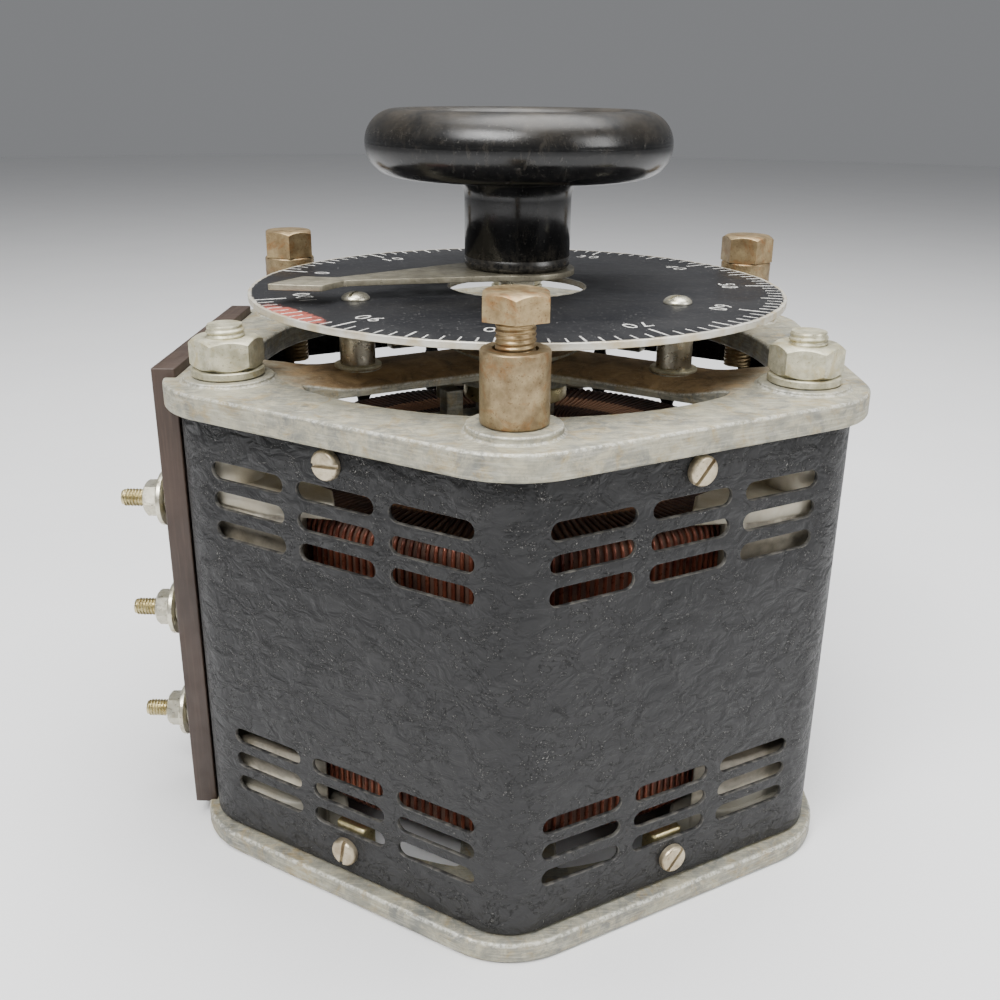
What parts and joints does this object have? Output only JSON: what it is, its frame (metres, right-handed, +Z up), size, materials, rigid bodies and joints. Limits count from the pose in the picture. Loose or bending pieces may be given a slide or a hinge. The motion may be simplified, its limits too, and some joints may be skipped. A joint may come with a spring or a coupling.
{
  "type": "variable autotransformer",
  "caption": "Hexagonal open-frame variable autotransformer with a perforated cover, a round scale plate with a pointer, and a dished control knob.",
  "frame": {"origin": "middle of the base casting's flat underside, on the axis of the shaft and knob", "axes": "+Z up along the shaft towards the knob; -Y towards the front corner, which carries the raised bolt; -X towards the terminal board"},
  "size_m": [0.191, 0.1908, 0.1884],
  "materials": {
    "cast_alloy": "aged cast, dull",
    "wrinkle_paint": "black wrinkle enamel",
    "brown_laminate": "phenolic paper board, satin",
    "core_steel": "laminated",
    "enamelled_copper": "red-brown wire enamel",
    "cream_moulding": "satin",
    "zinc_steel": "yellowed zinc plate",
    "tanned_steel": "tarnished plate",
    "dial_black": "black face with bare metal edge",
    "pale_nickel": "dull nickel",
    "brass": "aged",
    "black_bakelite": "polished, dusty",
    "carbon": "carbon brush"
  },
  "bodies": {
    "frame": {"base_casting": "cast_alloy", "case_cover": "wrinkle_paint", "core": "core_steel", "cover_screw_1": "tanned_steel", "cover_screw_10": "tanned_steel", "cover_screw_2": "tanned_steel", "cover_screw_3": "tanned_steel", "cover_screw_4": "tanned_steel", "cover_screw_5": "tanned_steel", "cover_screw_6": "tanned_steel", "cover_screw_7": "tanned_steel", "cover_screw_8": "tanned_steel", "cover_screw_9": "tanned_steel", "dial_plate": "dial_black", "dial_screw_1": "pale_nickel", "dial_screw_2": "pale_nickel", "dial_screw_3": "pale_nickel", "dial_standoff_1": "pale_nickel", "dial_standoff_2": "pale_nickel", "dial_standoff_3": "pale_nickel", "lower_clamp_1": "cream_moulding", "lower_clamp_2": "cream_moulding", "lower_clamp_3": "cream_moulding", "panel_bolt_1": "tanned_steel", "panel_bolt_2": "tanned_steel", "panel_bolt_3": "tanned_steel", "panel_post_1": "tanned_steel", "panel_post_2": "tanned_steel", "panel_post_3": "tanned_steel", "rod_nut_1": "zinc_steel", "rod_nut_2": "zinc_steel", "rod_nut_3": "zinc_steel", "rod_washer_1": "zinc_steel", "rod_washer_2": "zinc_steel", "rod_washer_3": "zinc_steel", "shaft_bush": "brass", "terminal_board": "brown_laminate", "terminal_nuts_1": "brass", "terminal_nuts_2": "brass", "terminal_nuts_3": "brass", "terminal_stud_1": "brass", "terminal_stud_2": "brass", "terminal_stud_3": "brass", "tie_rod_1": "tanned_steel", "tie_rod_2": "tanned_steel", "tie_rod_3": "tanned_steel", "top_casting": "cast_alloy", "upper_clamp_1": "cream_moulding", "upper_clamp_2": "cream_moulding", "upper_clamp_3": "cream_moulding", "winding": "enamelled_copper"},
    "rotor": {"shaft": "pale_nickel", "knob": "black_bakelite", "pointer": "pale_nickel", "slip_ring": "brass", "brush_arm": "cast_alloy", "brush_holder": "brass", "brush_spring": "pale_nickel"},
    "brush": {"brush": "carbon"}
  },
  "joints": [
    {"name": "knob_turn", "type": "hinge", "parent": "frame", "child": "rotor", "pos_m": [0, 0, 0.125], "axis": [0, 0, 1], "range_deg": [-5.8, 316.2]},
    {"name": "brush_press", "type": "slide", "parent": "rotor", "child": "brush", "axis": [0, 0, 1], "range_m": [0, 0.0025], "stiffness_N_per_m": 300, "springref_m": -0.003, "deforming": ["brush_spring"]}
  ]
}
